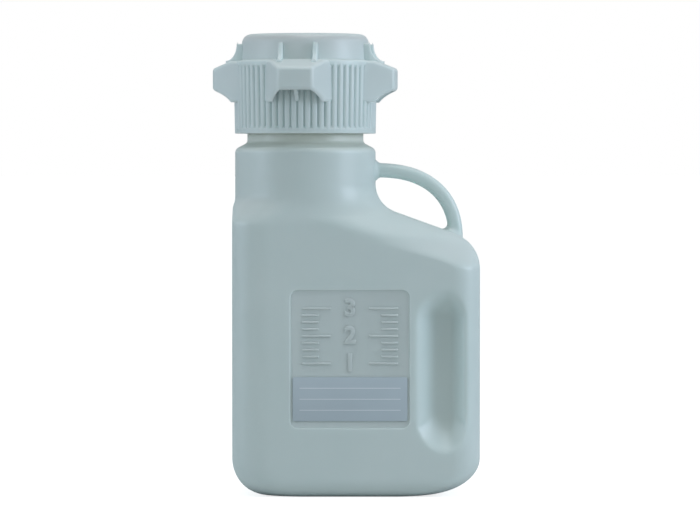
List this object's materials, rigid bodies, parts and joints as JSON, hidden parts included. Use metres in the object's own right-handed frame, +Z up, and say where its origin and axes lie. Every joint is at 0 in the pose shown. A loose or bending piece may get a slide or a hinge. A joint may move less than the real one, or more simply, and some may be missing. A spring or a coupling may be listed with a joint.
{
  "type": "laboratory bottle",
  "caption": "Wide-mouth plastic laboratory bottle with a ring handle, grip recesses and a winged screw cap that turns on its neck thread.",
  "frame": {"origin": "centre of the flat base, on the surface that the bottle stands on", "axes": "+Z up along the bottle's height, +X towards the handle side, -Y is the front with the panel and label"},
  "size_m": [0.1777, 0.1238, 0.3062],
  "materials": {
    "bottle_hdpe": "natural translucent high-density polyethylene, blow moulded, satin",
    "cap_polypropylene": "natural polypropylene, injection moulded, satin",
    "gasket_elastomer": "pale elastomer, matte",
    "label_film": "thin grey film, blank"
  },
  "bodies": {
    "bottle": {"bottle": "bottle_hdpe", "label": "label_film"},
    "gasket": {"cap_gasket": "gasket_elastomer"},
    "cap": {"screw_cap": "cap_polypropylene"}
  },
  "joints": [
    {"name": "cap_lift", "type": "slide", "parent": "bottle", "child": "gasket", "axis": [0, 0, 1], "range_m": [0, 0.0645]},
    {"name": "cap_turn", "type": "hinge", "parent": "gasket", "child": "cap", "pos_m": [-0.0338, 0, 0.264], "axis": [0, 0, 1], "range_deg": [0, 2880]}
  ],
  "couplings": [
    {"joint": "cap_lift", "follows": "cap_turn", "m_per_rad": 0.0012732}
  ]
}
